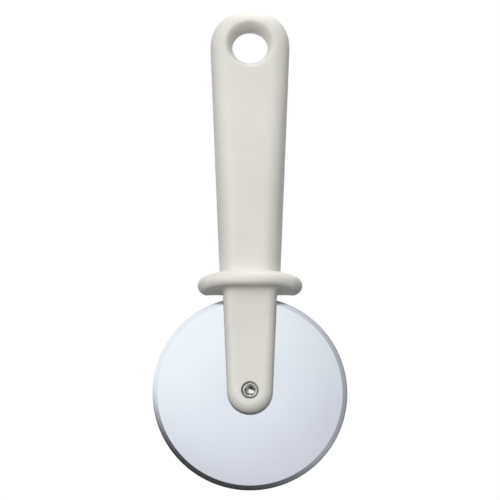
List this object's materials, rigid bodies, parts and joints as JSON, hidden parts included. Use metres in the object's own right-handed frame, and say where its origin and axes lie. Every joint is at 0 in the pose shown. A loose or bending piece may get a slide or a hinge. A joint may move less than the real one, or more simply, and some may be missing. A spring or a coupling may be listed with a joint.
{
  "type": "pastry cutter wheel",
  "caption": "Hand-held pastry cutter: a flat bevelled steel wheel on a rivet in the fork of a tapered plastic handle with an oval finger guard and a hanging hole.",
  "frame": {"origin": "centre of the hanging hole at the end of the handle, midway between its two faces", "axes": "+Z along the handle, from the wheel towards the hanging end; Y along the wheel's axle and the hole, front towards -Y; +X across the handle, to the right as seen from the front"},
  "size_m": [0.08, 0.0278, 0.206],
  "materials": {
    "shell_plastic": "off-white moulded polypropylene with a fine even texture, satin",
    "wheel_steel": "finely polished stainless steel with a ground bevel",
    "bush_acetal": "natural white acetal",
    "rivet_steel": "bright rolled stainless steel",
    "washer_steel": "tumbled stainless steel"
  },
  "bodies": {
    "handle": {"front_shell": "shell_plastic", "rear_shell": "shell_plastic", "axle_rivet": "rivet_steel", "rivet_washer": "washer_steel", "spacer_sleeve": "washer_steel"},
    "wheel": {"cutting_wheel": "wheel_steel", "front_hub_bush": "bush_acetal", "rear_hub_bush": "bush_acetal"}
  },
  "joints": [
    {"name": "wheel_spin", "type": "hinge", "parent": "handle", "child": "wheel", "pos_m": [0, 0, -0.15], "axis": [0, 1, 0], "continuous": true}
  ]
}
